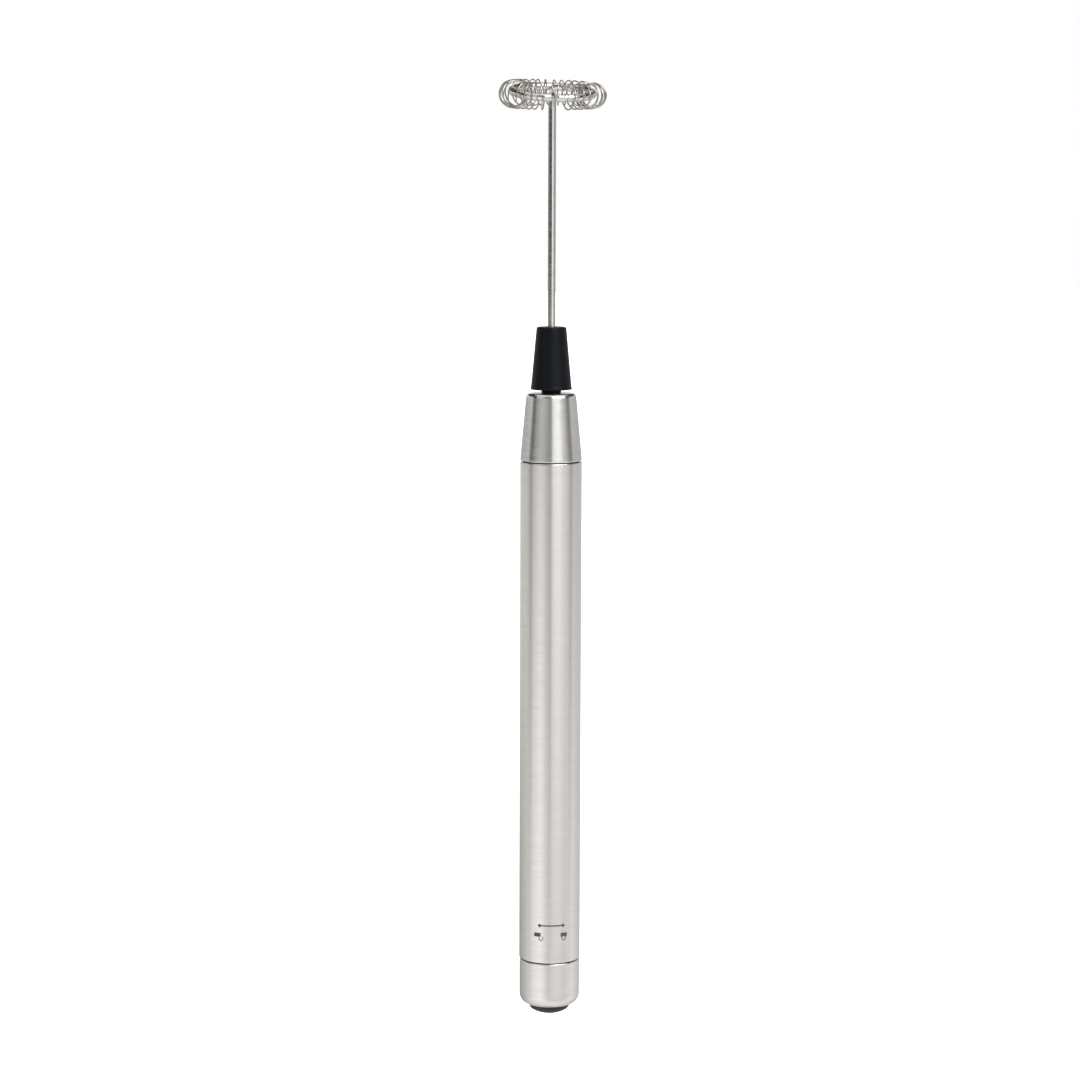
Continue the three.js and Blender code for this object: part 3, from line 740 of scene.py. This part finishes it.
def cell(name, node):
    """Round cell: sleeve turned over the can's ends, bead, and positive nub."""
    low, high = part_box(node)
    r, edge = high.x, 0.35 * MM
    nub_r, nub, nub_edge = 1.9 * MM, 0.8 * MM, 0.2 * MM
    base_sunk, bead_sunk = 0.12 * MM, 0.15 * MM
    top_z = high.z - nub
    lathe(name, [
        (0.0, low.z + base_sunk),
        (0.72 * r, low.z + base_sunk),
        (0.78 * r, low.z),
        *arc(r - edge, low.z + edge, edge, -90, 0, 6),
        *arc(r - edge, top_z - edge, edge, 0, 90, 6),
        (0.80 * r, top_z),
        (0.76 * r, top_z - bead_sunk),
        (nub_r + nub_edge, top_z - bead_sunk),
        (nub_r, top_z),
        *arc(nub_r - nub_edge, high.z - nub_edge, nub_edge, 0, 90, 5),
        (0.0, high.z),
    ], "cell_case", "handle", [node], sides=96)


# ---------------------------------------------------------------- printed marks


def add_padlock(bm, middle, swing):
    """A padlock that stands up when the button is up; swing moves its shackle off the body to open it."""
    half, body, line, arch, legs = 0.80 * MM, 0.90 * MM, 0.20 * MM, 0.48 * MM, 0.34 * MM
    tucked, lifted = 0.02 * MM, -0.12 * MM
    shoulder_z = PADLOCK_Z - 0.05 * MM
    block_steps, arch_steps = 8, 12
    block = [
        (middle - half + 2 * half * i / block_steps, shoulder_z + body / 2)
        for i in range(block_steps + 1)
    ]
    add_stroke(bm, block, [body] * len(block))
    centre = middle + 2 * swing
    shackle = [(centre + arch, shoulder_z + tucked)]
    for i in range(arch_steps + 1):
        angle = math.pi * i / arch_steps
        shackle.append((centre + arch * math.cos(angle), shoulder_z - legs - arch * math.sin(angle)))
    shackle.append((centre - arch, shoulder_z + (lifted if swing else tucked)))
    add_stroke(bm, shackle, [line] * len(shackle))


def turn_marks():
    """Printed two-headed turning arrow, with an open and a shut padlock below its ends."""
    left, right = -2.81 * MM, 3.70 * MM
    head, head_width, tip_share, line = 1.0 * MM, 0.95 * MM, 0.03, 0.32 * MM
    shaft_from, shaft_to = left + 0.7 * head, right - 0.7 * head
    shaft_steps, head_steps = 24, 8
    bm = bmesh.new()
    shaft = [
        (shaft_from + (shaft_to - shaft_from) * i / shaft_steps, ARROW_Z)
        for i in range(shaft_steps + 1)
    ]
    add_stroke(bm, shaft, [line] * len(shaft))
    shares = [i / head_steps for i in range(head_steps + 1)]
    for tip, way in ((left, 1), (right, -1)):
        diamond = [(tip + way * head * share, ARROW_Z) for share in shares]
        add_stroke(bm, diamond, [head_width * max(1 - abs(2 * share - 1), tip_share) for share in shares])
    for middle, swing in ((-2.86 * MM, 0.42 * MM), (3.40 * MM, 0.0)):
        add_padlock(bm, middle, swing)
    finished("turn_marks", bm, "black_plastic", "handle", look="mark_ink")


# ---------------------------------------------------------------- studio


def studio_world():
    """White to the camera; to everything else, bands of soft boxes and dark gaps round the object."""
    world = bpy.data.worlds.new("studio")
    bpy.context.scene.world = world
    world.use_nodes = True
    nodes, links = world.node_tree.nodes, world.node_tree.links
    nodes.clear()

    def math_node(kind, first, second):
        made = nodes.new("ShaderNodeMath")
        made.operation = kind
        for socket, value in zip(made.inputs, (first, second)):
            if isinstance(value, float):
                socket.default_value = value
            else:
                links.new(value, socket)
        return made.outputs[0]

    split = nodes.new("ShaderNodeSeparateXYZ")
    links.new(nodes.new("ShaderNodeTexCoord").outputs["Generated"], split.inputs[0])
    x, y, z = split.outputs
    turn = math_node("ARCTAN2", x, math_node("MULTIPLY", y, -1.0))
    around = math_node("ADD", math_node("DIVIDE", turn, FULL_TURN), 0.5)

    def band(stops, tint=(1.0, 0.99, 0.97)):
        """Brightness by the angle round the object, in degrees; 0 is the camera's side, + is +X."""
        ramp = nodes.new("ShaderNodeValToRGB")
        elements = ramp.color_ramp.elements
        while len(elements) > 1:
            elements.remove(elements[-1])
        for i, (degrees, level) in enumerate(stops):
            position = degrees / 360 + 0.5
            element = elements[0] if i == 0 else elements.new(position)
            element.position = position
            element.color = (*(level * part for part in tint), 1)
        links.new(around, ramp.inputs[0])
        return ramp.outputs[0]

    def above(first, second, low, high):
        """Changes from the first colour to the second between two heights, in degrees."""
        rise = nodes.new("ShaderNodeMapRange")
        rise.interpolation_type = "SMOOTHSTEP"
        links.new(z, rise.inputs["Value"])
        rise.inputs["From Min"].default_value = math.sin(math.radians(low))
        rise.inputs["From Max"].default_value = math.sin(math.radians(high))
        mix = nodes.new("ShaderNodeMix")
        mix.data_type = "RGBA"
        links.new(rise.outputs["Result"], mix.inputs["Factor"])
        links.new(first, mix.inputs["A"])
        links.new(second, mix.inputs["B"])
        return mix.outputs["Result"]

    bench = band([(-180, 0.50), (-60, 0.92), (0, 0.95), (60, 0.95), (180, 0.50)], (1.0, 0.995, 0.985))
    floor = band([
        (-180, 0.40), (-147, 0.34), (-106, 0.56), (-88, 0.84), (-68, 1.05), (-47, 1.14), (-36, 1.18),
        (-28, 1.12), (-9, 0.90), (0, 0.80), (18, 0.68), (60, 0.70), (74, 0.92), (84, 1.00), (96, 0.98),
        (123, 0.76), (150, 0.60), (180, 0.50)])
    middle = band([
        (-180, 0.75), (-106, 0.85), (-92, 0.66), (-80, 0.34), (-66, 0.85), (-40, 1.20), (-28, 1.10),
        (-16, 0.75), (-8, 0.68), (-1, 0.36), (6, 0.66), (16, 0.94), (36, 1.06), (52, 0.94), (66, 0.78),
        (80, 0.28), (92, 0.66), (180, 0.65)])
    horizon = band([
        (-180, 0.45), (-90, 0.25), (-70, 0.09), (-6, 0.06), (1, 0.55), (8, 1.15), (30, 1.10),
        (42, 0.70), (70, 0.50), (90, 0.40), (180, 0.45)])
    upper = band([
        (-180, 0.95), (-94, 0.95), (-88, 0.12), (-76, 0.07), (-68, 0.26), (-50, 0.48), (-37, 0.66),
        (-28, 0.70), (-18, 0.52), (-8, 0.48), (-2, 0.22), (2, 0.34), (7, 0.66), (30, 0.86), (39, 0.76),
        (46, 0.40), (56, 0.22), (70, 0.10), (76, 0.02), (86, 0.02), (92, 0.72), (180, 0.78)],
        (0.98, 1.0, 1.02))
    sky = band([
        (-180, 0.05), (-30, 0.02), (2, 0.04), (12, 1.10), (62, 1.10), (74, 0.10), (180, 0.05)])
    window = band([
        (-180, 0.05), (-30, 0.01), (2, 0.02), (9, 4.60), (66, 4.60), (76, 0.10), (180, 0.05)])
    ceiling = band([(-180, 0.80), (-40, 0.95), (40, 1.10), (180, 0.80)])
    colour = bench
    for upper_band, low, high in (
        (floor, -48, -26), (middle, -15, -8), (horizon, -6, -3), (upper, 2, 4),
        (sky, 12, 20), (window, 22, 26), (ceiling, 44, 54),
    ):
        colour = above(colour, upper_band, low, high)

    room = nodes.new("ShaderNodeBackground")
    links.new(colour, room.inputs["Color"])
    seen = nodes.new("ShaderNodeBackground")
    seen.inputs["Color"].default_value = (1, 1, 1, 1)
    choose = nodes.new("ShaderNodeMixShader")
    links.new(nodes.new("ShaderNodeLightPath").outputs["Is Camera Ray"], choose.inputs["Fac"])
    links.new(room.outputs[0], choose.inputs[1])
    links.new(seen.outputs[0], choose.inputs[2])
    links.new(choose.outputs[0], nodes.new("ShaderNodeOutputWorld").inputs["Surface"])


def pale_floor():
    """A wide pale floor well below the object, lit to the backdrop's white."""
    half, drop = 6.0, 0.12
    z = CAD_BOX[0].z - drop
    mesh = bpy.data.meshes.new("floor")
    corners = [(-half, -half, z), (half, -half, z), (half, half, z), (-half, half, z)]
    mesh.from_pydata(corners, [], [(0, 1, 2, 3)])
    floor = new_object("floor", mesh)
    made = Shader("floor_paper", Roughness=0.9, Emission_Color=(1, 1, 1, 1), Emission_Strength=1.0)
    made.color_from(made.noise(9), (0.92, 0.92, 0.92), (0.94, 0.94, 0.94))
    mesh.materials.append(made.material)
    floor.visible_glossy = False
    floor.visible_diffuse = False


def studio_lights():
    """Two large soft lights above, left and right of the camera, aimed at the handle."""
    aim = Vector((0, 0, 0.03))
    for name, place, watts, size in (
        ("key", Vector((0.9, -1.1, 1.3)), 6.0, 0.9),
        ("fill", Vector((-1.2, -0.8, 0.9)), 2.0, 1.0),
    ):
        light = bpy.data.lights.new(name, "AREA")
        light.energy = watts
        light.size = size
        lamp = new_object(name, light)
        lamp.location = place
        lamp.rotation_euler = (aim - place).to_track_quat("-Z", "Y").to_euler()


def camera():
    """In front, about level with the whisk, looking down a little and rolled a touch."""
    look_down, roll = 7.55, 0.17
    data = bpy.data.cameras.new("camera")
    data.lens = 98.0
    data.sensor_width = 36
    eye = new_object("camera", data)
    eye.location = (-0.00244, -0.661, 0.12685)
    pitch = Euler((math.radians(90 - look_down), 0, 0)).to_quaternion()
    eye.rotation_mode = "QUATERNION"
    eye.rotation_quaternion = pitch @ Euler((0, 0, math.radians(roll))).to_quaternion()
    bpy.context.scene.camera = eye


# ---------------------------------------------------------------- build

camera()
studio_world()
studio_lights()
pale_floor()
body_tube()
nose_cone()
end_cap()
nose_bush()
whisk_hub()
whisk_wire()
whisk_coil()
power_button()
cap_core()
tube_insert()
cap_seal()
battery_spring()
button_spring()
cell("battery_cell_1", "battery_1")
cell("battery_cell_2", "battery_2")
turn_marks()

for entry in frame["record"]["subparts"]:
    materials = frame["nodes"][entry["node"]].data.materials
    materials.clear()
    materials.append(MATERIALS[entry["material_slot"]])

bpy.context.scene.view_settings.view_transform = "Standard"
